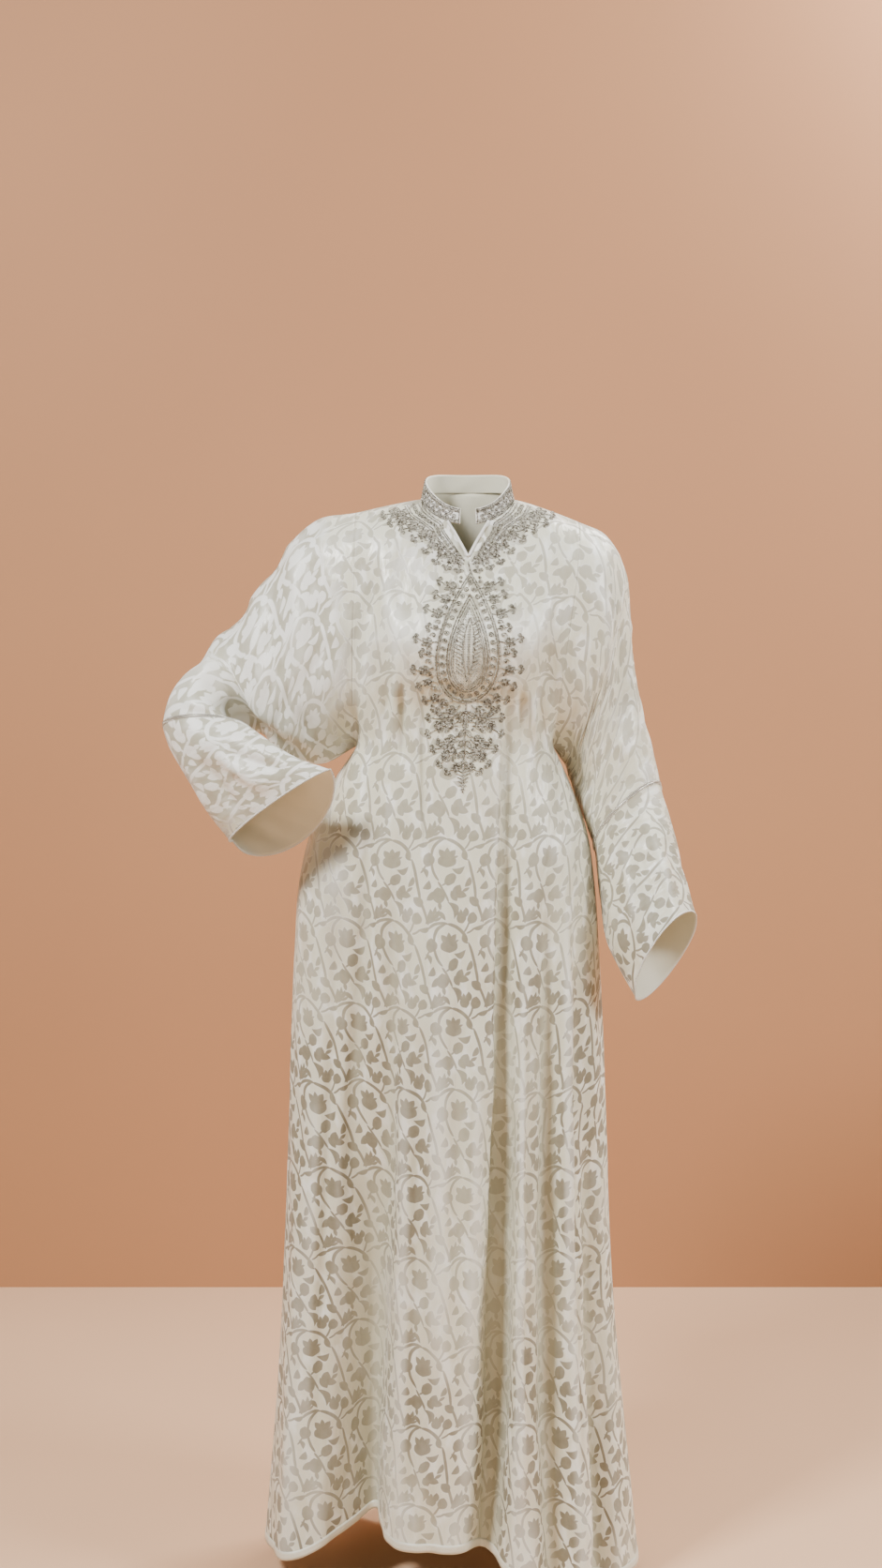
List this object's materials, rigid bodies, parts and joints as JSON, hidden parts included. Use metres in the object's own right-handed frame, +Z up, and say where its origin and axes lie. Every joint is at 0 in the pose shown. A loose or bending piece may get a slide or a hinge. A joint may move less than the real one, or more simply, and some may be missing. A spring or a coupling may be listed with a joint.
{
  "type": "kaftan",
  "caption": "Long satin jacquard kaftan, worn form, wide dolman sleeves with flared cuffs, stand collar, keyhole slit and raised bead work",
  "frame": {"origin": "Middle of the shoulder line at the base of the neck, where a wearer's shoulders hold it", "axes": "+Z up, +X to the wearer's left, the front faces -Y"},
  "size_m": [0.7274, 0.3785, 1.5111],
  "materials": {
    "cloth": "ivory satin jacquard with a tone-on-tone vine",
    "collar_cloth": "white satin under bead work",
    "bead_work": "pewter and champagne bead embroidery",
    "silver_braid": "silver metallic braid"
  },
  "bodies": {
    "root": {"front": "cloth", "back": "cloth", "sleeve_right": "cloth", "sleeve_left": "cloth", "cuff_right": "cloth", "cuff_left": "cloth", "collar": "collar_cloth", "keyhole_binding": "collar_cloth", "seam_braid_right": "silver_braid", "seam_braid_left": "silver_braid", "cuff_braid_right": "silver_braid", "cuff_braid_left": "silver_braid", "embroidery_neck": "bead_work", "embroidery_medallion": "bead_work", "embroidery_teardrop": "bead_work"}
  },
  "joints": []
}
